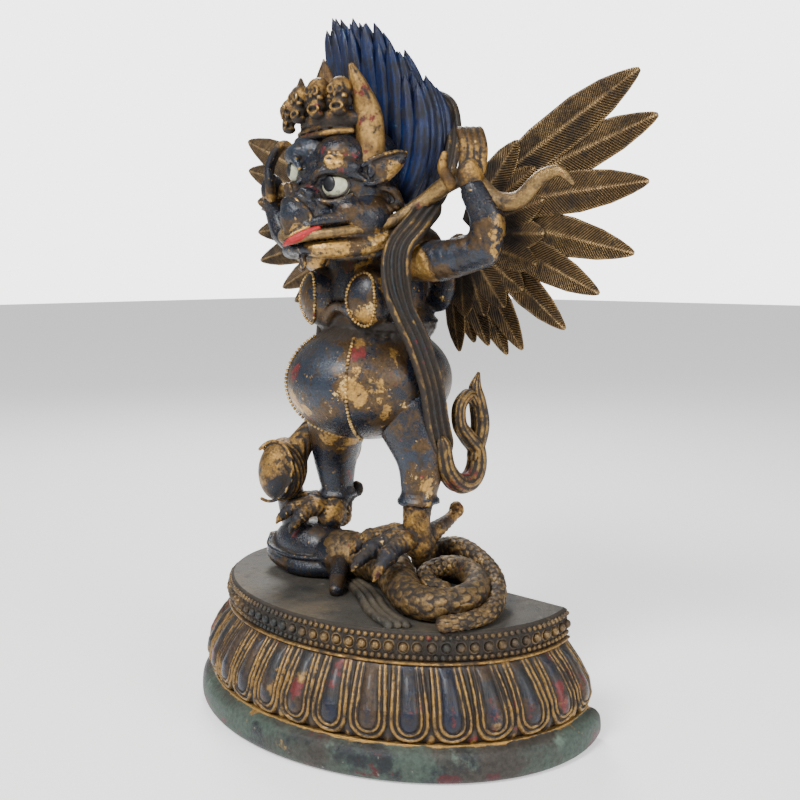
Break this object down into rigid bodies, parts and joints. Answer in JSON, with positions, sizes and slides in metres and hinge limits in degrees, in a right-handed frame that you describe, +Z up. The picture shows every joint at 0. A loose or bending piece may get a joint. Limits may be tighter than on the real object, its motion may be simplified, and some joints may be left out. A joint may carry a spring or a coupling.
{
  "type": "garuda statue",
  "caption": "Standing bird-headed guardian with spread wings, trampling a serpent spirit on a D-shaped lotus base.",
  "frame": {"origin": "middle of the base's flat underside, under the centre of the half-oval plan's long axis", "axes": "+Z up, the figure faces -Y, its left hand is at +X"},
  "size_m": [0.2797, 0.125, 0.351],
  "materials": {
    "gilt_lacquer": "gilt bronze with worn blue-black lacquer, gold leaf and red undercoat",
    "wing_bronze": "brown gilt bronze, dark in the recesses",
    "base_bronze": "aged bronze with gold rims, red undercoat and verdigris"
  },
  "bodies": {
    "root": {"lotus_base": "base_bronze", "garuda_on_naga": "gilt_lacquer", "left_wing": "wing_bronze", "right_wing": "wing_bronze"}
  },
  "joints": []
}
